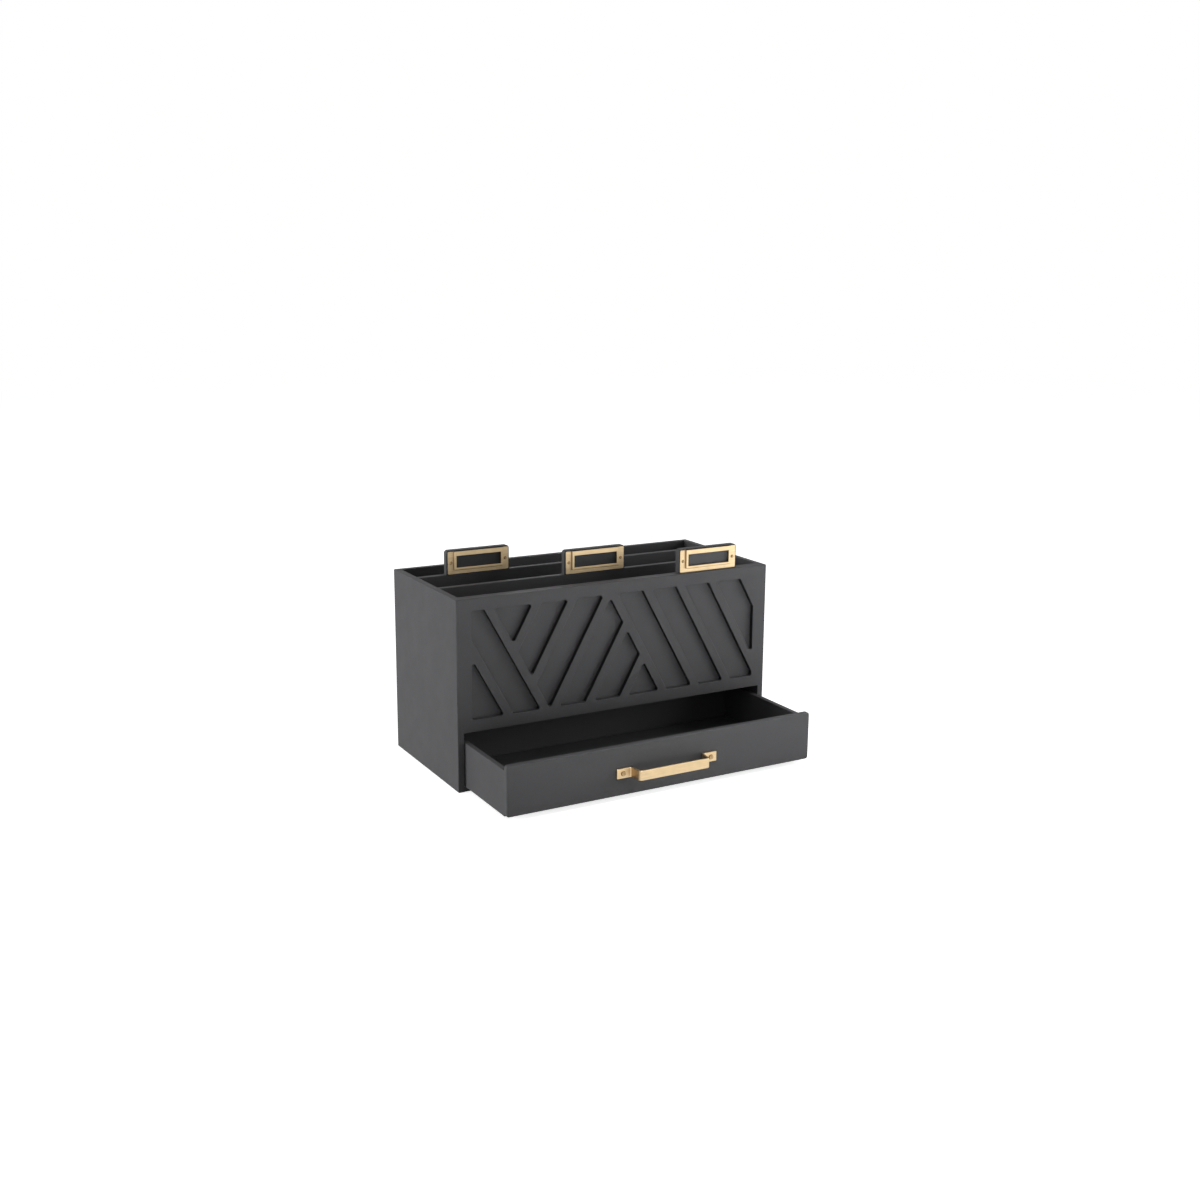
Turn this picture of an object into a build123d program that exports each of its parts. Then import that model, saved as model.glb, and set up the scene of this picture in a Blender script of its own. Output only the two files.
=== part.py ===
"""Desk sorter for envelopes: three standing compartments over one full-width drawer.

Painted board case with a slatted front, three label tabs and a drawer with a bent-bar pull.
Millimetres. X runs along the front, +Y to the back, +Z up. The origin is the middle of the
case's underside. The drawer stands part open, as it is met on the desk.
"""
import os
from math import cos, radians, sin

from build123d import *

# ---- Driving dimensions -------------------------------------------------------------------

# Case
width = 330.0                # outside of one side board to the outside of the other
depth = 147.0                # front of the slatted board to the back of the case
height = 177.0               # desk to the top edges of the boards, without the tabs
board = 6.0                  # side, back, floor, divider and inner front boards
base_board = 4.5             # the board that the drawer slides on
arris = 0.8                  # rounding of the case's outer edges
board_bevel = 0.4            # broken free edges of the thin boards
bay_height = 50.0            # clear height of the drawer bay

# Standing compartments, front to back
front_pocket = 38.5          # clear depth behind the front panel
middle_pocket = 43.5         # clear depth between the two dividers

# Slatted front board: slanted windows cut through a thin board glued on the inner one
slat_board = 4.5             # its thickness, which is the depth of the recesses
rail = 11.4                  # solid edge above and below the windows
stile = 8.3                  # solid edge at the left and right of the windows
lean = 29.0                  # slant of the slats from upright, in degrees
slat = 8.0                   # width of a slat
slat_pitch = 32.0            # square distance from one slat to the next
cutter_radius = 2.0          # corner radius that the cutter leaves
window_bevel = 0.35          # broken edge around each window
left_turn_x = -105.5         # slat where the pattern turns, left, at half height
right_turn_x = 20.5          # slat where it turns back, right, at half height
turned_slats = 5             # slats that lean the other way, between the two turns
turned_centre_x = -40.4      # the middle one of them, at half height

# Label tabs and their metal frames
tab_width = 65.0
tab_height = 23.2            # above the top edge of the board that carries it
tab_radius = 3.0
tab_root_radius = 1.0        # where a tab rises from its board
frame_side_margin = 1.2      # of the tab, beside its frame
frame_top_margin = 1.3       # of the tab, above its frame
frame_seat = 0.5             # gap between a frame and the board edge under it
frame_plate = 0.8            # thickness of the ears and of the lip
frame_rise = 2.4             # how far the lip stands off the tab
frame_radius = 1.0           # corners of the ears
ear_width = 5.9              # flat end of the frame, beside its raised hood
hood_base = 3.6              # from the frame's lower edge to the hood's lower edge
hood_radius = 1.0
hood_bend = 0.5              # bevel where the sheet turns from the sides to the lip
hood_wall = 1.1              # beside the space behind the lip that takes the card
card_hold = 1.4              # how far the lip reaches over each end of the card
window_base = 5.9            # from the frame's lower edge to the window's lower edge
window_top = 4.2             # from the window's upper edge to the frame's
window_burr = 0.2            # bevel that the punch leaves around the window
frame_screw_inset = 3.3      # from a frame's end to its screw
frame_screw_radius = 0.75
frame_head_radius = 1.5
frame_head_height = 0.7
frame_screw_length = 4.0     # under the head

# Drawer
side_gap = 0.75              # running clearance on each side
under_gap = 0.5              # running clearance on the base board
behind_gap = 3.0             # between the shut drawer and the back panel
open_by = 86.0               # how far it stands open here
drawer_front_height = 46.0
drawer_wall_height = 41.0    # sides and back, lower than the front
drawer_board = 5.0
drawer_bottom_board = 3.0
bottom_lift = 3.0            # lower edge of the walls to the underside of the bottom
groove_depth = 2.0           # groove that holds the bottom in the four walls
drawer_corner = 2.5          # corners of the drawer's front, seen from the front
drawer_arris = 1.6           # rounding all round its face

# Handle: flat bar, two square feet, two legs and a straight grip
bar = 2.0                    # thickness of the bar
bar_height = 9.0
handle_screw_spacing = 92.0
foot_overhang = 5.3          # from a screw to the outer end of its foot
foot_inner = 8.8             # from a screw to the leg's bend
leg_spread = 1.5             # how far a leg's foot stands outside its grip end
standoff = 15.0              # drawer front to the outer face of the grip
bend_radius = 2.2            # on the middle line of the bar
bar_bevel = 0.3              # broken long edges of the bar
handle_rise = 21.2           # drawer's lower edge to the middle of the bar
handle_screw_radius = 1.5
handle_head_radius = 2.4
handle_head_height = 1.1
handle_screw_length = 6.0    # under the head

# Fastener details
screw_clearance = 0.1        # radial, hole around a screw
slot_gap = 0.6               # width of the slot in a screw's head
slot_depth = 0.4
slot_turn = 35.0             # of the slot from upright, in degrees
head_taper = 0.4             # how much narrower a head is at its top, all round

# ---- Worked out from them -----------------------------------------------------------------

front_y = -depth / 2
back_y = depth / 2
bay_width = width - 2 * board
bay_back_y = back_y - board
panel_y = front_y + slat_board                     # front face of the inner front panel
floor_front_y = panel_y + board                    # its back face
front_divider_y = floor_front_y + front_pocket     # front face of each divider
rear_divider_y = front_divider_y + board + middle_pocket
bay_top_z = base_board + bay_height
floor_top_z = bay_top_z + board

field_width = bay_width - 2 * stile
field_height = height - bay_top_z - 2 * rail
field_z = (height + bay_top_z) / 2
step = slat_pitch / cos(radians(lean))             # sideways distance between slats
slat_length = 2 * (field_height + field_width)     # longer than any slat can be

tab_gap = (width - 3 * tab_width) / 4              # the same beside and between the tabs
tab_pitch = tab_width + tab_gap
frame_width = tab_width - 2 * frame_side_margin
frame_height = tab_height - frame_seat - frame_top_margin
frame_screw_spacing = frame_width - 2 * frame_screw_inset
hood_width = frame_width - 2 * ear_width
slot_width = hood_width - 2 * hood_wall
window_width = slot_width - 2 * card_hold
window_height = frame_height - window_base - window_top
frame_base_z = height + frame_seat
frame_middle_z = frame_base_z + frame_height / 2
frame_screw_z = frame_middle_z

drawer_width = bay_width - 2 * side_gap
drawer_depth = bay_back_y - behind_gap - front_y
drawer_y = front_y - open_by                       # front face of the drawer
drawer_back_y = drawer_y + drawer_depth
drawer_z = base_board + under_gap
bottom_z = drawer_z + bottom_lift
handle_z = drawer_z + handle_rise


def upright(y):
    """Plane at depth y that faces the front: its X is the case's X, its Y is up."""
    return Plane(origin=(0, y, 0), x_dir=(1, 0, 0), z_dir=(0, -1, 0))


def level(z):
    """Plane at height z that faces up."""
    return Plane.XY.offset(z)


def finish(piece, name):
    """Label a finished piece and write it."""
    piece.part.label = name
    export_step(piece.part, f"parts/{name}.step")


os.makedirs("parts", exist_ok=True)

# ---- Case boards --------------------------------------------------------------------------

with BuildPart() as base_panel:
    with BuildSketch(level(0)):
        with Locations((0, (front_y + bay_back_y) / 2)):
            Rectangle(bay_width, bay_back_y - front_y)
    extrude(amount=base_board)
    chamfer(base_panel.faces().sort_by(Axis.Y)[0].edges().filter_by(Axis.X), length=board_bevel)
finish(base_panel, "base_panel")


def side_board(x):
    """One outer side: full depth and height, softened around its outer face and its ends."""
    with BuildPart() as side:
        with BuildSketch(level(0)):
            with Locations((x, 0)):
                Rectangle(board, depth)
        extrude(amount=height)
        outer_edges = side.faces().sort_by(Axis.X)[0 if x < 0 else -1].edges()
        top_ends = side.faces().sort_by(Axis.Z)[-1].edges().filter_by(Axis.X)
        fillet(outer_edges + top_ends, radius=arris)
    return side


finish(side_board(-(width - board) / 2), "left_side")
finish(side_board((width - board) / 2), "right_side")

with BuildPart() as back_panel:
    with BuildSketch(level(0)):
        with Locations((0, back_y - board / 2)):
            Rectangle(bay_width, board)
    extrude(amount=height)
    back_edges = back_panel.faces().sort_by(Axis.Y)[-1].edges().filter_by(Axis.X)
    fillet(back_edges, radius=arris)
finish(back_panel, "back_panel")

with BuildPart() as compartment_floor:
    with BuildSketch(level(bay_top_z)):
        with Locations((0, (floor_front_y + bay_back_y) / 2)):
            Rectangle(bay_width, bay_back_y - floor_front_y)
    extrude(amount=board)
finish(compartment_floor, "compartment_floor")


# ---- Boards with a label tab --------------------------------------------------------------

def tabbed_board(face_y, bottom_z, tab_x, free_front):
    """Board across the case with one tab standing on its top edge.

    The tab has rounded upper corners and two blind holes for the screws of its frame. The
    upper edge is broken along the back, and along the front too where nothing lies on it.
    """
    top_z = height + tab_height
    with BuildPart() as tabbed:
        with BuildSketch(upright(face_y)):
            with Locations((0, (bottom_z + height) / 2)):
                Rectangle(bay_width, height - bottom_z)
            with Locations((tab_x, (bottom_z + top_z) / 2)):
                Rectangle(tab_width, top_z - bottom_z)
        extrude(amount=-board)
        tab_roots = tabbed.edges().filter_by(Axis.Y).group_by(Axis.Z)[-2].sort_by(Axis.X)[1:3]
        fillet(tab_roots, radius=tab_root_radius)
        tab_corners = tabbed.edges().filter_by(Axis.Y).group_by(Axis.Z)[-1]
        fillet(tab_corners, radius=tab_radius)
        board_faces = tabbed.faces().sort_by(Axis.Y)
        free_faces = [board_faces[0], board_faces[-1]] if free_front else [board_faces[-1]]
        for free_face in free_faces:
            upper_edges = free_face.edges().filter_by_position(
                Axis.Z, height - board_bevel, top_z + board_bevel
            )
            chamfer(upper_edges, length=board_bevel)
        with Locations(upright(face_y)):
            with Locations((tab_x, frame_screw_z)):
                with GridLocations(frame_screw_spacing, 0, 2, 1):
                    Hole(
                        frame_screw_radius + screw_clearance,
                        depth=frame_screw_length - frame_plate + screw_clearance,
                    )
    return tabbed


finish(tabbed_board(panel_y, bay_top_z, tab_pitch, False), "front_panel")
finish(tabbed_board(front_divider_y, floor_top_z, 0, True), "front_divider")
finish(tabbed_board(rear_divider_y, floor_top_z, -tab_pitch, True), "rear_divider")


# ---- Slatted front board ------------------------------------------------------------------

def slanted_strip(x, strip_width, angle, mode):
    """Long strip that leans by angle degrees and crosses the field's half height at x."""
    with Locations((x, field_z)):
        Rectangle(strip_width, slat_length, rotation=angle, mode=mode)


def round_corners():
    """Leave only what a round cutter can reach: shrink the windows, then grow them back."""
    offset(amount=-cutter_radius, kind=Kind.INTERSECTION)
    offset(amount=cutter_radius, kind=Kind.ARC)


# The pattern turns at two slats. Outside them the slats lean to the left going up, and between
# them they lean to the right.
turn_middle_x = (left_turn_x + right_turn_x) / 2
turn_span = (right_turn_x - left_turn_x) * cos(radians(lean))
left_count = int((left_turn_x + field_width / 2) // step)
right_count = int((field_width / 2 - right_turn_x) // step)
outer_slats = [left_turn_x - step * n for n in range(1, left_count + 1)]
outer_slats += [right_turn_x + step * n for n in range(1, right_count + 1)]
# Past the last window the upper right corner stays whole, so its strip is a full pitch wide.
corner_x = right_turn_x + step * (right_count + 1) + (slat_pitch - slat) / 2 / cos(radians(lean))

with BuildPart() as front_lattice:
    with BuildSketch(upright(front_y)):
        with Locations((0, field_z)):
            Rectangle(bay_width, height - bay_top_z)
    extrude(amount=-slat_board)

    with BuildSketch(upright(front_y)) as outer_windows:
        with Locations((0, field_z)):
            Rectangle(field_width, field_height)
        slanted_strip(turn_middle_x, turn_span + slat, lean, Mode.SUBTRACT)
        for slat_x in outer_slats:
            slanted_strip(slat_x, slat, lean, Mode.SUBTRACT)
        slanted_strip(corner_x, slat_pitch, lean, Mode.SUBTRACT)
        round_corners()
    extrude(amount=-slat_board, mode=Mode.SUBTRACT)

    with BuildSketch(upright(front_y)) as turned_windows:
        with Locations((0, field_z)):
            Rectangle(field_width, field_height)
        slanted_strip(turn_middle_x, turn_span - slat, lean, Mode.INTERSECT)
        for n in range(turned_slats):
            slat_x = turned_centre_x + step * (n - (turned_slats - 1) / 2)
            slanted_strip(slat_x, slat, -lean, Mode.SUBTRACT)
        round_corners()
    extrude(amount=-slat_board, mode=Mode.SUBTRACT)

    slatted_face = front_lattice.faces().sort_by(Axis.Y)[0]
    fillet(slatted_face.outer_wire().edges().filter_by(Axis.X), radius=arris)
    slatted_face = front_lattice.faces().sort_by(Axis.Y)[0]
    window_rims = [rim for window in slatted_face.inner_wires() for rim in window.edges()]
    chamfer(window_rims, length=window_bevel)
finish(front_lattice, "front_lattice")


# ---- Label frames -------------------------------------------------------------------------

def label_frame(face_y, tab_x):
    """Pressed metal frame: flat ears for the screws and a raised hood that holds a card.

    The card drops in from above, behind the lip, and shows through the window.
    """
    hood_z = (frame_base_z + hood_base + frame_base_z + frame_height) / 2
    window_z = frame_base_z + window_base + window_height / 2
    slot_floor_z = window_z - window_height / 2 - card_hold
    slot_top_z = frame_base_z + frame_height
    with BuildPart() as frame:
        with BuildSketch(upright(face_y)):
            with Locations((tab_x, frame_middle_z)):
                RectangleRounded(frame_width, frame_height, frame_radius)
        extrude(amount=frame_plate)
        with BuildSketch(upright(face_y)):
            with Locations((tab_x, hood_z)):
                Rectangle(hood_width, frame_height - hood_base)
        extrude(amount=frame_rise)
        hood_edges = frame.edges().filter_by(Axis.Y).filter_by_position(
            Axis.Y, face_y - frame_rise, face_y - frame_plate
        )
        fillet(hood_edges.group_by(Axis.Z)[0], radius=hood_radius)
        lip_edges = frame.faces().sort_by(Axis.Y)[0].edges().sort_by(Axis.Z)
        chamfer(lip_edges[:-1], length=hood_bend)
        with BuildSketch(upright(face_y)):
            with Locations((tab_x, (slot_floor_z + slot_top_z) / 2)):
                Rectangle(slot_width, slot_top_z - slot_floor_z)
        extrude(amount=frame_rise - frame_plate, mode=Mode.SUBTRACT)
        with BuildSketch(upright(face_y)):
            with Locations((tab_x, window_z)):
                Rectangle(window_width, window_height)
        extrude(amount=frame_rise, mode=Mode.SUBTRACT)
        punched_edges = frame.faces().sort_by(Axis.Y)[0].inner_wires()[0].edges()
        chamfer(punched_edges, length=window_burr)
        with Locations(upright(face_y - frame_plate)):
            with Locations((tab_x, frame_screw_z)):
                with GridLocations(frame_screw_spacing, 0, 2, 1):
                    Hole(frame_screw_radius + screw_clearance, depth=frame_plate)
    return frame


frame_places = {
    "label_frame_front": (panel_y, tab_pitch),
    "label_frame_middle": (front_divider_y, 0),
    "label_frame_rear": (rear_divider_y, -tab_pitch),
}
for name, (face_y, tab_x) in frame_places.items():
    finish(label_frame(face_y, tab_x), name)


def slotted_screws(seat_y, x, z, spacing, head_radius, head_height, shank_radius, length):
    """Two slotted screws side by side, their tapered heads resting on the plane seat_y."""
    head_plane = upright(seat_y)
    with Locations(head_plane):
        with Locations((x, z)):
            with GridLocations(spacing, 0, 2, 1):
                Cone(
                    head_radius, head_radius - head_taper, head_height,
                    align=(Align.CENTER, Align.CENTER, Align.MIN),
                )
                Cylinder(shank_radius, length, align=(Align.CENTER, Align.CENTER, Align.MAX))
    with BuildSketch(upright(seat_y - head_height)) as slots:
        with Locations((x, z)):
            with GridLocations(spacing, 0, 2, 1):
                Rectangle(slot_gap, 2 * head_radius, rotation=slot_turn)
    extrude(slots.sketch, amount=-slot_depth, mode=Mode.SUBTRACT)


with BuildPart() as label_frame_screws:
    for face_y, tab_x in frame_places.values():
        slotted_screws(
            face_y - frame_plate, tab_x, frame_screw_z, frame_screw_spacing,
            frame_head_radius, frame_head_height, frame_screw_radius, frame_screw_length,
        )
finish(label_frame_screws, "label_frame_screws")


# ---- Drawer -------------------------------------------------------------------------------

# The bottom lies in a groove that runs round the inside of the four walls.
tray_width = drawer_width - 2 * drawer_board
tray_depth = drawer_depth - 2 * drawer_board
tray_y = drawer_y + drawer_depth / 2


def cut_groove():
    """Take the room of the drawer's bottom out of the wall that is being made."""
    with BuildSketch(level(bottom_z)) as room:
        with Locations((0, tray_y)):
            Rectangle(tray_width + 2 * groove_depth, tray_depth + 2 * groove_depth)
    extrude(room.sketch, amount=drawer_bottom_board, mode=Mode.SUBTRACT)


with BuildPart() as drawer_front:
    with BuildSketch(level(drawer_z)):
        with Locations((0, drawer_y + drawer_board / 2)):
            Rectangle(drawer_width, drawer_board)
    extrude(amount=drawer_front_height)
    fillet(drawer_front.edges().filter_by(Axis.Y), radius=drawer_corner)
    fillet(drawer_front.faces().sort_by(Axis.Y)[0].edges(), radius=drawer_arris)
    cut_groove()
    with Locations(upright(drawer_y)):
        with Locations((0, handle_z)):
            with GridLocations(handle_screw_spacing, 0, 2, 1):
                Hole(
                    handle_screw_radius + screw_clearance,
                    depth=handle_screw_length - bar + screw_clearance,
                )
finish(drawer_front, "drawer_front")


def drawer_side(x):
    """Drawer wall from the back of the front board to the drawer's back end."""
    with BuildPart() as wall:
        with BuildSketch(level(drawer_z)):
            with Locations((x, (drawer_y + drawer_board + drawer_back_y) / 2)):
                Rectangle(drawer_board, drawer_depth - drawer_board)
        extrude(amount=drawer_wall_height)
        chamfer(wall.faces().sort_by(Axis.Z)[-1].edges().filter_by(Axis.Y), length=board_bevel)
        cut_groove()
    return wall


finish(drawer_side(-(drawer_width - drawer_board) / 2), "drawer_left_side")
finish(drawer_side((drawer_width - drawer_board) / 2), "drawer_right_side")

with BuildPart() as drawer_back:
    with BuildSketch(level(drawer_z)):
        with Locations((0, drawer_back_y - drawer_board / 2)):
            Rectangle(tray_width, drawer_board)
    extrude(amount=drawer_wall_height)
    chamfer(drawer_back.faces().sort_by(Axis.Z)[-1].edges().filter_by(Axis.X), length=board_bevel)
    cut_groove()
finish(drawer_back, "drawer_back")

with BuildPart() as drawer_bottom:
    with BuildSketch(level(bottom_z)):
        with Locations((0, tray_y)):
            Rectangle(tray_width + 2 * groove_depth, tray_depth + 2 * groove_depth)
    extrude(amount=drawer_bottom_board)
finish(drawer_bottom, "drawer_bottom")


# ---- Handle -------------------------------------------------------------------------------

foot_y = drawer_y - bar / 2                        # middle line of the bar at the feet
grip_y = drawer_y - standoff + bar / 2             # and at the grip
foot_end_x = handle_screw_spacing / 2 + foot_overhang
foot_bend_x = handle_screw_spacing / 2 - foot_inner
grip_end_x = foot_bend_x - leg_spread

with BuildPart() as handle:
    with BuildSketch(level(handle_z - bar_height / 2)):
        with BuildLine():
            bar_line = FilletPolyline(
                (-foot_end_x, foot_y),
                (-foot_bend_x, foot_y),
                (-grip_end_x, grip_y),
                (grip_end_x, grip_y),
                (foot_bend_x, foot_y),
                (foot_end_x, foot_y),
                radius=bend_radius,
            )
            offset(bar_line, amount=bar / 2, side=Side.BOTH)
        make_face()
    extrude(amount=bar_height)
    bar_edges = handle.edges().group_by(Axis.Z)[0] + handle.edges().group_by(Axis.Z)[-1]
    chamfer(bar_edges, length=bar_bevel)
    with Locations(upright(drawer_y - bar)):
        with Locations((0, handle_z)):
            with GridLocations(handle_screw_spacing, 0, 2, 1):
                Hole(handle_screw_radius + screw_clearance, depth=bar)
finish(handle, "handle")

with BuildPart() as handle_screws:
    slotted_screws(
        drawer_y - bar, 0, handle_z, handle_screw_spacing,
        handle_head_radius, handle_head_height, handle_screw_radius, handle_screw_length,
    )
finish(handle_screws, "handle_screws")
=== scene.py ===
"""Desk sorter for envelopes: painted board case, slatted front, label tabs and one drawer.

The sections follow the sorter as it is put together: the case from its base up, the label
frames, the drawer, its pull, and last the studio it stands in. Lengths are in metres.
"""
from math import cos, radians, sin

import bpy
from mathutils import Matrix, Vector


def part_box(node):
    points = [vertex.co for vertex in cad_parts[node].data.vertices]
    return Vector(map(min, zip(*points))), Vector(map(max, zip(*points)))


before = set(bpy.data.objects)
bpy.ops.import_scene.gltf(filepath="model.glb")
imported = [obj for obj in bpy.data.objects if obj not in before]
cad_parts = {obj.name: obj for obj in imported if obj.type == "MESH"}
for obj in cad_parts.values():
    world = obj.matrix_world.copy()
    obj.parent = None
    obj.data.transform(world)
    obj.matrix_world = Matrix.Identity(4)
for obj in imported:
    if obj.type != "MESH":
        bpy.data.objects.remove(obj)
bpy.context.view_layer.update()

# ---- Base board -----------------------------------------------------------------------------
# A thin board, taken to be fibreboard, that ties the two sides together at the desk, and that
# the drawer slides on. The paint is charcoal grey with hardly any gloss, and its fine orange
# peel is what such sprayed paint has.


def new_effect(name, inputs, outputs):
    """Start a shared shader effect with named sockets, and give its two end nodes."""
    effect = bpy.data.node_groups.new(name, "ShaderNodeTree")
    for socket, kind, value in inputs:
        made = effect.interface.new_socket(name=socket, in_out="INPUT", socket_type=kind)
        made.default_value = value
    for socket, kind in outputs:
        effect.interface.new_socket(name=socket, in_out="OUTPUT", socket_type=kind)
    return effect, effect.nodes.new("NodeGroupInput"), effect.nodes.new("NodeGroupOutput")


def add_node(tree, kind, inputs=(), **settings):
    """Add a shader node: its settings by name, then each (socket, value or output)."""
    node = tree.nodes.new(kind)
    for key, value in settings.items():
        setattr(node, key, value)
    for socket, value in inputs:
        if isinstance(value, bpy.types.NodeSocket):
            tree.links.new(value, node.inputs[socket])
        else:
            node.inputs[socket].default_value = value
    return node


def spray_coat_effect():
    """Sprayed paint: cloudy tone, uneven sheen, and the orange peel of the spray gun."""
    coat, given, result = new_effect(
        "spray_coat",
        [
            ("Paint", "NodeSocketColor", (0.08, 0.08, 0.08, 1.0)),
            ("Cloud", "NodeSocketFloat", 0.03),
            ("Roughness", "NodeSocketFloat", 0.5),
        ],
        [("Color", "NodeSocketColor"), ("Roughness", "NodeSocketFloat"),
         ("Height", "NodeSocketFloat")],
    )
    place = add_node(coat, "ShaderNodeTexCoord").outputs["Object"]
    cloud = add_node(coat, "ShaderNodeTexNoise",
                     [("Vector", place), ("Scale", 22.0), ("Detail", 4.0), ("Roughness", 0.55)])
    dark = add_node(coat, "ShaderNodeMath", [(0, 1.0), (1, given.outputs["Cloud"])],
                    operation="SUBTRACT")
    pale = add_node(coat, "ShaderNodeMath", [(0, 1.0), (1, given.outputs["Cloud"])],
                    operation="ADD")
    tone = add_node(coat, "ShaderNodeMapRange", [
        ("Value", cloud.outputs["Fac"]), ("From Min", 0.3), ("From Max", 0.7),
        ("To Min", dark.outputs[0]), ("To Max", pale.outputs[0])])
    fleck = add_node(coat, "ShaderNodeTexNoise",
                     [("Vector", place), ("Scale", 650.0), ("Detail", 2.0)])
    fleck_tone = add_node(coat, "ShaderNodeMapRange", [
        ("Value", fleck.outputs["Fac"]), ("From Min", 0.3), ("From Max", 0.7),
        ("To Min", 0.98), ("To Max", 1.02)])
    both = add_node(coat, "ShaderNodeMath",
                    [(0, tone.outputs[0]), (1, fleck_tone.outputs[0])], operation="MULTIPLY")
    colour = add_node(coat, "ShaderNodeHueSaturation",
                      [("Color", given.outputs["Paint"]), ("Value", both.outputs[0])])
    sheen_patch = add_node(coat, "ShaderNodeTexNoise",
                           [("Vector", place), ("Scale", 60.0), ("Detail", 3.0)])
    sheen_shift = add_node(coat, "ShaderNodeMapRange", [
        ("Value", sheen_patch.outputs["Fac"]), ("From Min", 0.3), ("From Max", 0.7),
        ("To Min", -0.05), ("To Max", 0.05)])
    sheen = add_node(coat, "ShaderNodeMath",
                     [(0, given.outputs["Roughness"]), (1, sheen_shift.outputs[0])],
                     operation="ADD")
    peel = add_node(coat, "ShaderNodeTexNoise",
                    [("Vector", place), ("Scale", 900.0), ("Detail", 1.0)])
    for socket, output in (("Color", colour.outputs[0]), ("Roughness", sheen.outputs[0]),
                           ("Height", peel.outputs["Fac"])):
        coat.links.new(output, result.inputs[socket])
    return coat


def edge_highlight_mask_effect():
    """Mask of the long edges of a board between two corners, broken up by noise, for a painted
    edge highlight.
    """
    edge_highlight, given, result = new_effect(
        "edge_highlight_mask",
        [
            ("Low", "NodeSocketVector", (0.0, 0.0, 0.0)),
            ("High", "NodeSocketVector", (1.0, 1.0, 1.0)),
            ("Reach", "NodeSocketFloat", 0.0012),
        ],
        [("Mask", "NodeSocketFloat")],
    )
    place = add_node(edge_highlight, "ShaderNodeTexCoord").outputs["Object"]
    from_low = add_node(edge_highlight, "ShaderNodeVectorMath", [(0, place), (1, given.outputs["Low"])],
                        operation="SUBTRACT")
    from_high = add_node(edge_highlight, "ShaderNodeVectorMath", [(0, given.outputs["High"]), (1, place)],
                         operation="SUBTRACT")
    nearest = add_node(edge_highlight, "ShaderNodeVectorMath",
                       [(0, from_low.outputs[0]), (1, from_high.outputs[0])],
                       operation="MINIMUM")
    axes = add_node(edge_highlight, "ShaderNodeSeparateXYZ", [(0, nearest.outputs[0])])
    # On a face one distance is nothing, so the middle one of the three is the way to an edge.
    low_pair = add_node(edge_highlight, "ShaderNodeMath", [(0, axes.outputs[0]), (1, axes.outputs[1])],
                        operation="MINIMUM")
    high_pair = add_node(edge_highlight, "ShaderNodeMath", [(0, axes.outputs[0]), (1, axes.outputs[1])],
                         operation="MAXIMUM")
    capped = add_node(edge_highlight, "ShaderNodeMath", [(0, high_pair.outputs[0]), (1, axes.outputs[2])],
                      operation="MINIMUM")
    to_edge = add_node(edge_highlight, "ShaderNodeMath", [(0, low_pair.outputs[0]), (1, capped.outputs[0])],
                       operation="MAXIMUM")
    near = add_node(edge_highlight, "ShaderNodeMapRange", [
        ("Value", to_edge.outputs[0]), ("From Min", given.outputs["Reach"]),
        ("From Max", 0.0), ("To Min", 0.0), ("To Max", 1.0)], interpolation_type="SMOOTHSTEP")
    patches = add_node(edge_highlight, "ShaderNodeTexNoise",
                       [("Vector", place), ("Scale", 45.0), ("Detail", 5.0)])
    broken = add_node(edge_highlight, "ShaderNodeMapRange", [
        ("Value", patches.outputs["Fac"]), ("From Min", 0.35), ("From Max", 0.65),
        ("To Min", 0.25), ("To Max", 1.0)])
    mask = add_node(edge_highlight, "ShaderNodeMath", [(0, near.outputs[0]), (1, broken.outputs[0])],
                    operation="MULTIPLY")
    edge_highlight.links.new(mask.outputs[0], result.inputs["Mask"])
    return edge_highlight


spray_coat = spray_coat_effect()
edge_highlight_mask = edge_highlight_mask_effect()
charcoal = (0.076, 0.076, 0.079, 1.0)
# Paler charcoal for a painted highlight along the boards' free edges.
highlight_charcoal = (0.15, 0.15, 0.154, 1.0)
matt_gloss = 0.04
peel_height = 0.00001
far_off = 1.0                # moves a glued end away, so that it gets no painted edge highlight


def dress(node_name, material):
    """Put one finish on all of a piece."""
    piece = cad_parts[node_name]
    for material_slot in piece.material_slots:
        material_slot.material = material


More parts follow.
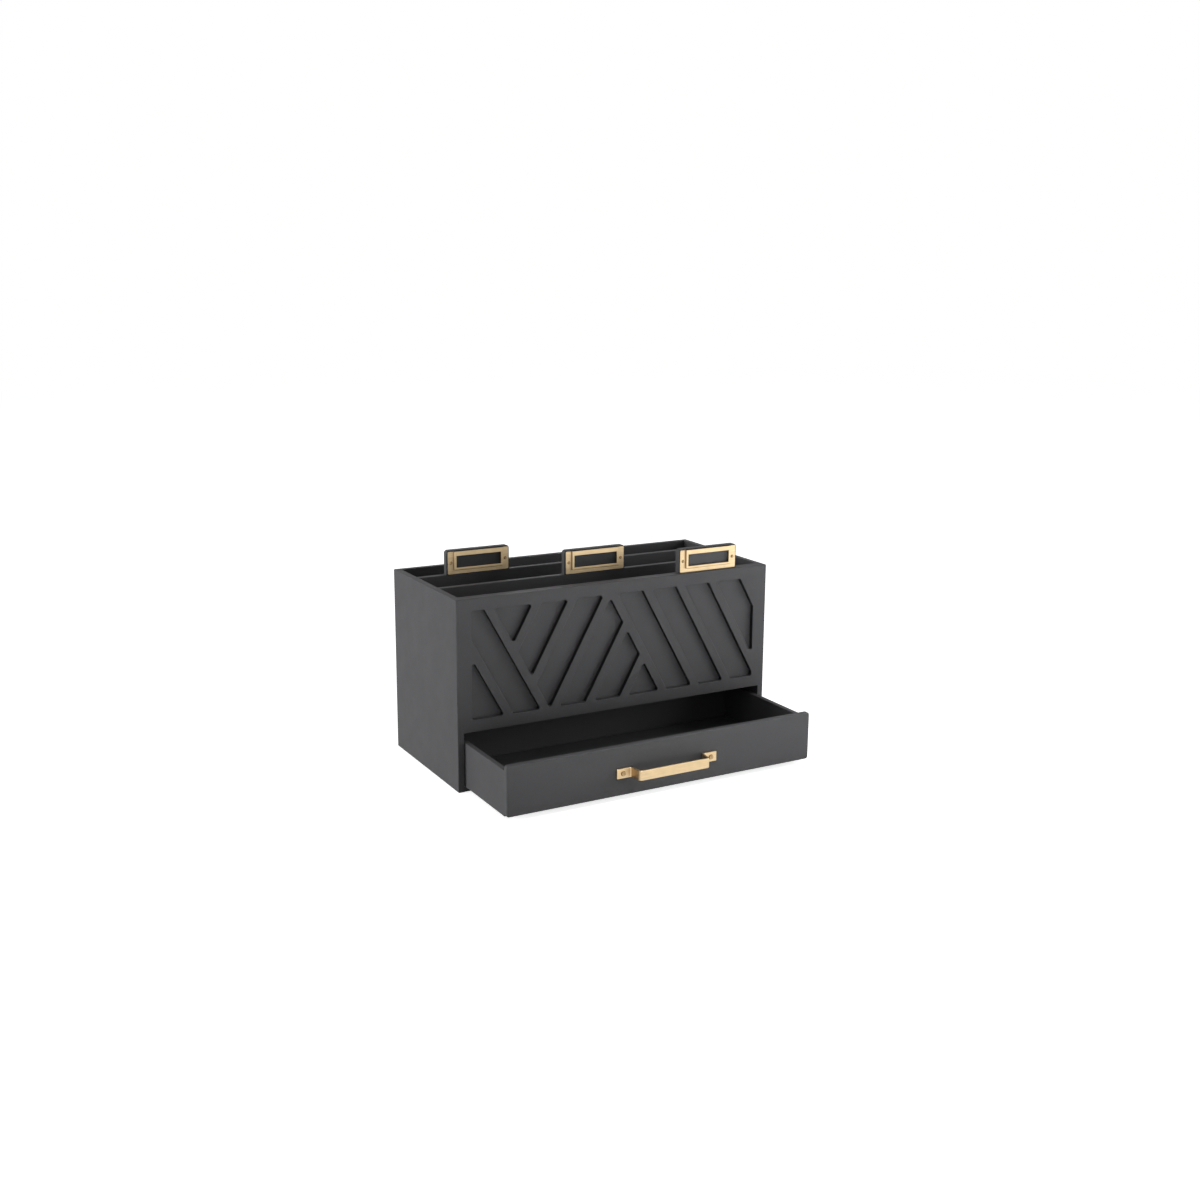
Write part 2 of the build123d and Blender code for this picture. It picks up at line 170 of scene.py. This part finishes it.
def paint_board(node_name, seams="", roughness=0.5, cloud=0.03, edge_highlight=0.2):
    """Spray one board of the sorter, with a painted highlight along its free edges.

    seams names the ends of the board that are glued to others, such as "x- x+". It gives back
    the material's nodes.
    """
    material = bpy.data.materials.new(f"charcoal_{node_name}")
    material.use_nodes = True
    tree = material.node_tree
    shader = tree.nodes["Principled BSDF"]
    shader.inputs["Specular IOR Level"].default_value = matt_gloss
    coat = add_node(tree, "ShaderNodeGroup", node_tree=spray_coat)
    for socket, value in (("Paint", charcoal), ("Cloud", cloud), ("Roughness", roughness)):
        coat.inputs[socket].default_value = value
    low, high = [list(corner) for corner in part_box(node_name)]
    for seam in seams.split():
        axis = "xyz".index(seam[0])
        if seam[1] == "-":
            low[axis] -= far_off
        else:
            high[axis] += far_off
    edges = add_node(tree, "ShaderNodeGroup", node_tree=edge_highlight_mask)
    edges.inputs["Low"].default_value = low
    edges.inputs["High"].default_value = high
    share = add_node(tree, "ShaderNodeMath", [(0, edges.outputs["Mask"]), (1, edge_highlight)],
                     operation="MULTIPLY")
    colour = add_node(tree, "ShaderNodeMix", data_type="RGBA")
    tree.links.new(share.outputs[0], colour.inputs["Factor"])
    tree.links.new(coat.outputs["Color"], colour.inputs["A"])
    colour.inputs["B"].default_value = highlight_charcoal
    bump = add_node(tree, "ShaderNodeBump",
                    [("Height", coat.outputs["Height"]), ("Distance", peel_height),
                     ("Strength", 1.0)])
    tree.links.new(colour.outputs["Result"], shader.inputs["Base Color"])
    tree.links.new(coat.outputs["Roughness"], shader.inputs["Roughness"])
    tree.links.new(bump.outputs["Normal"], shader.inputs["Normal"])
    dress(node_name, material)
    return tree


paint_board("base_panel", seams="x- x+ y+", roughness=0.56)

# ---- Side boards, back and compartment floor ------------------------------------------------
# Boards of the same fibreboard, glued at their edges. The two sides run the full depth and
# height, and the others stand between them.

paint_board("left_side", seams="x+", roughness=0.5)
paint_board("right_side", seams="x-", roughness=0.5)
paint_board("back_panel", seams="x- x+ z-", roughness=0.54)
paint_board("compartment_floor", seams="x- x+ y- y+ z-", roughness=0.58, edge_highlight=0.0)

# ---- Front panel and slatted board ----------------------------------------------------------
# A thin board with slanted windows, cut by a router and glued over the inner front panel,
# which shows at the bottom of each window.

paint_board("front_panel", seams="x- x+ y-", roughness=0.52)
lattice_tree = paint_board("front_lattice", seams="x- x+ y+", roughness=0.48)


def turned_away_shade_effect():
    """Mask of the walls, edges and slopes that are turned from the sorter's front, for painted
    shade.
    """
    wall, given, result = new_effect(
        "turned_away_shade", [("Limit", "NodeSocketFloat", 0.5)], [("Mask", "NodeSocketFloat")])
    facing = add_node(wall, "ShaderNodeSeparateXYZ",
                      [(0, add_node(wall, "ShaderNodeTexCoord").outputs["Normal"])])
    frontal = add_node(wall, "ShaderNodeMath", [(0, facing.outputs["Y"])], operation="ABSOLUTE")
    fade = 0.2
    steepest = add_node(wall, "ShaderNodeMath", [(0, given.outputs["Limit"]), (1, fade)],
                        operation="SUBTRACT")
    mask = add_node(wall, "ShaderNodeMapRange", [
        ("Value", frontal.outputs[0]), ("From Min", given.outputs["Limit"]),
        ("From Max", steepest.outputs[0])])
    wall.links.new(mask.outputs[0], result.inputs["Mask"])
    return wall


# The windows' cut walls, but not their upturned ledges, are painted near black. This is
# painted shade: the dark goes by the way a wall faces. Thin paint on the cut is only
# supposed: the dark goes by the way a wall faces, so it stands in for shade as well.
turned_away_shade = turned_away_shade_effect()
painted_shade_black = (0.022, 0.022, 0.024, 1.0)
window_margin = 0.008        # the board's own edges lie outside it
ledge_slope = 0.85
wall_slope = 0.6
lattice_low, lattice_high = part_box("front_lattice")
lattice_shade = add_node(lattice_tree, "ShaderNodeGroup", node_tree=turned_away_shade)
lattice_place = add_node(lattice_tree, "ShaderNodeTexCoord")
lattice_facing = add_node(lattice_tree, "ShaderNodeSeparateXYZ",
                          [(0, lattice_place.outputs["Normal"])])
lattice_at = add_node(lattice_tree, "ShaderNodeSeparateXYZ",
                      [(0, lattice_place.outputs["Object"])])
not_ledge = add_node(lattice_tree, "ShaderNodeMapRange", [
    ("Value", lattice_facing.outputs["Z"]), ("From Min", ledge_slope),
    ("From Max", wall_slope)])
under_top = add_node(lattice_tree, "ShaderNodeMath", [
    (0, lattice_at.outputs["Z"]), (1, lattice_high[2] - window_margin)], operation="LESS_THAN")
over_foot = add_node(lattice_tree, "ShaderNodeMath", [
    (0, lattice_at.outputs["Z"]), (1, lattice_low[2] + window_margin)], operation="GREATER_THAN")
in_height = add_node(lattice_tree, "ShaderNodeMath", [
    (0, under_top.outputs[0]), (1, over_foot.outputs[0])], operation="MULTIPLY")
shaded_wall = add_node(lattice_tree, "ShaderNodeMath", [
    (0, lattice_shade.outputs["Mask"]), (1, not_ledge.outputs[0])], operation="MULTIPLY")
painted_shade_mask = add_node(lattice_tree, "ShaderNodeMath", [
    (0, shaded_wall.outputs[0]), (1, in_height.outputs[0])], operation="MULTIPLY")
lattice_shader = lattice_tree.nodes["Principled BSDF"]
lattice_colour = add_node(lattice_tree, "ShaderNodeMix", data_type="RGBA")
lattice_tree.links.new(painted_shade_mask.outputs[0], lattice_colour.inputs["Factor"])
lattice_tree.links.new(lattice_shader.inputs["Base Color"].links[0].from_socket,
                       lattice_colour.inputs["A"])
lattice_colour.inputs["B"].default_value = painted_shade_black
lattice_tree.links.new(lattice_colour.outputs["Result"], lattice_shader.inputs["Base Color"])

# ---- Dividers -------------------------------------------------------------------------------
# Two boards of the same fibreboard that stand on the compartment floor, glued between the
# sides. Each has a label tab cut in one piece with its top edge.

for board_name in ("front_divider", "rear_divider"):
    paint_board(board_name, seams="x- x+ z-", roughness=0.52)

# ---- Label frames ---------------------------------------------------------------------------
# Card holders pressed from thin metal, one on each tab. They have a satin pale gold finish,
# taken to be brushed and lacquered. Their edges and the faces turned from the front are painted
# dark brown, as painted shade.


def brushed_gilt_effect():
    """Fine brush lines along one way, with the uneven tone of a thin gilt lacquer."""
    gilt, given, result = new_effect(
        "brushed_gilt",
        [
            ("Gilt", "NodeSocketColor", (0.8, 0.6, 0.35, 1.0)),
            ("Grain", "NodeSocketVector", (40.0, 2500.0, 2500.0)),
            ("Roughness", "NodeSocketFloat", 0.3),
        ],
        [("Color", "NodeSocketColor"), ("Roughness", "NodeSocketFloat"),
         ("Height", "NodeSocketFloat")],
    )
    place = add_node(gilt, "ShaderNodeTexCoord").outputs["Object"]
    stretched = add_node(gilt, "ShaderNodeVectorMath",
                         [(0, place), (1, given.outputs["Grain"])], operation="MULTIPLY")
    lines = add_node(gilt, "ShaderNodeTexNoise",
                     [("Vector", stretched.outputs[0]), ("Scale", 1.0), ("Detail", 3.0)])
    cloud = add_node(gilt, "ShaderNodeTexNoise",
                     [("Vector", place), ("Scale", 120.0), ("Detail", 3.0)])
    line_tone = add_node(gilt, "ShaderNodeMapRange", [
        ("Value", lines.outputs["Fac"]), ("From Min", 0.3), ("From Max", 0.7),
        ("To Min", 0.88), ("To Max", 1.08)])
    cloud_tone = add_node(gilt, "ShaderNodeMapRange", [
        ("Value", cloud.outputs["Fac"]), ("From Min", 0.3), ("From Max", 0.7),
        ("To Min", 0.93), ("To Max", 1.05)])
    tone = add_node(gilt, "ShaderNodeMath",
                    [(0, line_tone.outputs[0]), (1, cloud_tone.outputs[0])],
                    operation="MULTIPLY")
    colour = add_node(gilt, "ShaderNodeHueSaturation",
                      [("Color", given.outputs["Gilt"]), ("Value", tone.outputs[0])])
    sheen_shift = add_node(gilt, "ShaderNodeMapRange", [
        ("Value", lines.outputs["Fac"]), ("From Min", 0.3), ("From Max", 0.7),
        ("To Min", 0.06), ("To Max", -0.06)])
    sheen = add_node(gilt, "ShaderNodeMath",
                     [(0, given.outputs["Roughness"]), (1, sheen_shift.outputs[0])],
                     operation="ADD")
    for socket, output in (("Color", colour.outputs[0]), ("Roughness", sheen.outputs[0]),
                           ("Height", lines.outputs["Fac"])):
        gilt.links.new(output, result.inputs[socket])
    return gilt


brushed_gilt = brushed_gilt_effect()
pale_gold = (0.80, 0.61, 0.365, 1.0)
# Darker, browner gold for the screws: painted shade.
shade_darkened_gold = (0.52, 0.37, 0.20, 1.0)
# Painted shade: brown laid on the faces of the gold that turn from the front.
shade_brown = (0.20, 0.12, 0.055, 1.0)
# Paler gold along the metal's edges: a painted highlight.
highlight_gold = (0.92, 0.77, 0.55, 1.0)
edge_slope = 0.8
gold_edge = 0.0005
brush_depth = 0.000004


def gild(node_name, gilt=pale_gold, roughness=0.4, grain=(40.0, 2500.0, 2500.0), edge_highlight=0.4,
         edge_shade=0.8):
    """Give one metal piece its brushed gold finish, with painted shade in brown on the faces
    turned from the front and a painted highlight along its edges.
    """
    material = bpy.data.materials.new(f"gilt_{node_name}")
    material.use_nodes = True
    tree = material.node_tree
    shader = tree.nodes["Principled BSDF"]
    shader.inputs["Metallic"].default_value = 1.0
    metal = add_node(tree, "ShaderNodeGroup", node_tree=brushed_gilt)
    metal.inputs["Gilt"].default_value = gilt
    metal.inputs["Grain"].default_value = grain
    metal.inputs["Roughness"].default_value = roughness
    low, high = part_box(node_name)
    edges = add_node(tree, "ShaderNodeGroup", node_tree=edge_highlight_mask)
    edges.inputs["Low"].default_value = low
    edges.inputs["High"].default_value = high
    edges.inputs["Reach"].default_value = gold_edge
    share = add_node(tree, "ShaderNodeMath", [(0, edges.outputs["Mask"]), (1, edge_highlight)],
                     operation="MULTIPLY")
    highlighted = add_node(tree, "ShaderNodeMix", data_type="RGBA")
    tree.links.new(share.outputs[0], highlighted.inputs["Factor"])
    tree.links.new(metal.outputs["Color"], highlighted.inputs["A"])
    highlighted.inputs["B"].default_value = highlight_gold
    walls = add_node(tree, "ShaderNodeGroup", node_tree=turned_away_shade)
    walls.inputs["Limit"].default_value = edge_slope
    brown = add_node(tree, "ShaderNodeMath", [(0, walls.outputs["Mask"]), (1, edge_shade)],
                     operation="MULTIPLY")
    colour = add_node(tree, "ShaderNodeMix", data_type="RGBA")
    tree.links.new(brown.outputs[0], colour.inputs["Factor"])
    tree.links.new(highlighted.outputs["Result"], colour.inputs["A"])
    colour.inputs["B"].default_value = shade_brown
    bump = add_node(tree, "ShaderNodeBump",
                    [("Height", metal.outputs["Height"]), ("Distance", brush_depth),
                     ("Strength", 1.0)])
    tree.links.new(colour.outputs["Result"], shader.inputs["Base Color"])
    tree.links.new(metal.outputs["Roughness"], shader.inputs["Roughness"])
    tree.links.new(bump.outputs["Normal"], shader.inputs["Normal"])
    dress(node_name, material)


for frame_name in ("label_frame_front", "label_frame_middle", "label_frame_rear"):
    gild(frame_name)

# ---- Label frame screws ---------------------------------------------------------------------
# Small slotted screws, one through each ear of a frame into the tab. They are gilded a darker,
# browner gold than the frames, which is painted shade for the dark their heads show.

gild("label_frame_screws", shade_darkened_gold, roughness=0.42, grain=(600.0, 600.0, 600.0), edge_highlight=0.0)

# ---- Drawer ---------------------------------------------------------------------------------
# A tray of thinner fibreboard with a thicker and taller front that closes the bay. The boards
# are glued at the corners, and the thin bottom lies in a groove in the walls.

paint_board("drawer_front", seams="y+", roughness=0.48)
for board_name in ("drawer_left_side", "drawer_right_side"):
    paint_board(board_name, seams="y-", roughness=0.54)
paint_board("drawer_back", seams="x- x+", roughness=0.56)
paint_board("drawer_bottom", seams="x- x+ y- y+", roughness=0.62, cloud=0.06, edge_highlight=0.0)

# ---- Drawer pull ----------------------------------------------------------------------------
# A flat metal bar, bent to a straight grip with two slanted legs and two square feet, and
# brushed along the bar. A screw through each foot holds it.

# The pull's faces turned from the front take the painted brown shade too, at a lower share.
gild("handle", roughness=0.42, grain=(45.0, 1800.0, 2600.0), edge_shade=0.45)
# The pull's screws take the same darker gold, which is painted shade.
gild("handle_screws", shade_darkened_gold, roughness=0.42, grain=(500.0, 500.0, 500.0), edge_highlight=0.0)

# ---- Studio: table, lights and camera -------------------------------------------------------
# A pale seamless table in a white room under large soft lights, seen from the left of the
# sorter and a little above it.

table_mesh = bpy.data.meshes.new("studio_table")
half_table = 4.0
table_mesh.from_pydata(
    [(-half_table, -half_table, 0), (half_table, -half_table, 0),
     (half_table, half_table, 0), (-half_table, half_table, 0)],
    [], [(0, 1, 2, 3)])
table = bpy.data.objects.new("studio_table", table_mesh)
bpy.context.scene.collection.objects.link(table)
table_finish = bpy.data.materials.new("pale_table")
table_finish.use_nodes = True
table_tree = table_finish.node_tree
table_tree.nodes.clear()
table_end = table_tree.nodes.new("ShaderNodeOutputMaterial")
table_matt = add_node(table_tree, "ShaderNodeBsdfDiffuse", [("Color", (0.86, 0.86, 0.86, 1.0))])
table_ray = add_node(table_tree, "ShaderNodeLightPath")
table_whitening = 0.78       # what the lit table lacks to show white
table_lift = add_node(table_tree, "ShaderNodeMath",
                      [(0, table_ray.outputs["Is Camera Ray"]), (1, table_whitening)],
                      operation="MULTIPLY")
table_glow = add_node(table_tree, "ShaderNodeEmission", [("Strength", table_lift.outputs[0])])
table_sum = add_node(table_tree, "ShaderNodeAddShader",
                     [(0, table_matt.outputs[0]), (1, table_glow.outputs[0])])
# In metal and through glass the table shows as plain white, as the room round it does.
table_mirrored = add_node(table_tree, "ShaderNodeMath",
                          [(0, table_ray.outputs["Is Glossy Ray"]),
                           (1, table_ray.outputs["Is Transmission Ray"])], operation="MAXIMUM")
table_white = add_node(table_tree, "ShaderNodeEmission", [("Strength", 1.0)])
table_mix = add_node(table_tree, "ShaderNodeMixShader", [
    (0, table_mirrored.outputs[0]), (1, table_sum.outputs[0]), (2, table_white.outputs[0])])
table_tree.links.new(table_mix.outputs[0], table_end.inputs["Surface"])
table_mesh.materials.append(table_finish)

room = bpy.data.worlds.new("studio_room")
bpy.context.scene.world = room
room.use_nodes = True
room_tree = room.node_tree
room_tree.nodes.clear()
room_end = room_tree.nodes.new("ShaderNodeOutputWorld")
room_ray = add_node(room_tree, "ShaderNodeLightPath")
room_seen = add_node(room_tree, "ShaderNodeMath",
                     [(0, room_ray.outputs["Is Camera Ray"]),
                      (1, room_ray.outputs["Is Glossy Ray"])], operation="MAXIMUM")
room_shown = add_node(room_tree, "ShaderNodeMath",
                      [(0, room_seen.outputs[0]),
                       (1, room_ray.outputs["Is Transmission Ray"])], operation="MAXIMUM")
room_glow = 0.25             # what the room adds to the lamps
room_white = 1.0
room_strength = add_node(room_tree, "ShaderNodeMapRange", [
    ("Value", room_shown.outputs[0]), ("To Min", room_glow), ("To Max", room_white)])
room_light = add_node(room_tree, "ShaderNodeBackground",
                      [("Color", (1.0, 1.0, 1.0, 1.0)), ("Strength", room_strength.outputs[0])])
room_tree.links.new(room_light.outputs[0], room_end.inputs["Surface"])


def soft_box(name, place, aim, size, watts, spread=180.0):
    """Square studio light at a place, turned to what it lights. The spread is in degrees."""
    light = bpy.data.lights.new(name, "AREA")
    light.shape = "SQUARE"
    light.size = size
    light.energy = watts
    light.spread = radians(spread)
    lamp = bpy.data.objects.new(name, light)
    lamp.location = place
    lamp.rotation_mode = "QUATERNION"
    lamp.rotation_quaternion = (Vector(aim) - Vector(place)).to_track_quat("-Z", "Y")
    bpy.context.scene.collection.objects.link(lamp)


sorter_middle = (0.0, 0.0, 0.08)
sorter_top = (0.0, 0.0, 0.1)
soft_box("left_box", (-1.8, 0.45, 0.35), sorter_middle, 0.8, 28.5)
soft_box("right_box", (1.1, -0.65, 0.32), sorter_middle, 0.6, 8.7)
soft_box("back_box", (0.8, 1.7, 0.13), sorter_top, 0.25, 6.0)
soft_box("top_box", (0.0, 0.1, 1.6), sorter_top, 0.9, 3.0)
# This one lights only the table in front, which throws its light up at the drawer's front.
soft_box("table_box", (0.2, -0.75, 0.75), (0.2, -0.75, 0.0), 0.7, 9.5, spread=60.0)

# The camera was worked out from the case's corners: its place, its turn and its lens.
picture_width = 1200.0
focal_pixels = 1445.126
picture_centre = (607.41, 572.243)
camera_azimuth = radians(-29.593)
camera_elevation = radians(12.245)
camera_roll = radians(0.447)
camera_place = (-0.653453, -1.199877, 0.468139)
behind = Vector((sin(camera_azimuth) * cos(camera_elevation),
                 -cos(camera_azimuth) * cos(camera_elevation),
                 sin(camera_elevation)))
level_right = (-behind).cross(Vector((0, 0, 1))).normalized()
level_up = level_right.cross(-behind)
right = cos(camera_roll) * level_right + sin(camera_roll) * level_up
up = -sin(camera_roll) * level_right + cos(camera_roll) * level_up
lens = bpy.data.cameras.new("studio_camera")
lens.sensor_width = 36.0
lens.lens = focal_pixels / picture_width * lens.sensor_width
lens.shift_x = (picture_width / 2 - picture_centre[0]) / picture_width
lens.shift_y = (picture_centre[1] - picture_width / 2) / picture_width
camera = bpy.data.objects.new("studio_camera", lens)
camera.matrix_world = (Matrix.Translation(camera_place)
                       @ Matrix((right, up, behind)).transposed().to_4x4())
bpy.context.scene.collection.objects.link(camera)
bpy.context.scene.camera = camera
bpy.context.scene.view_settings.view_transform = "Standard"
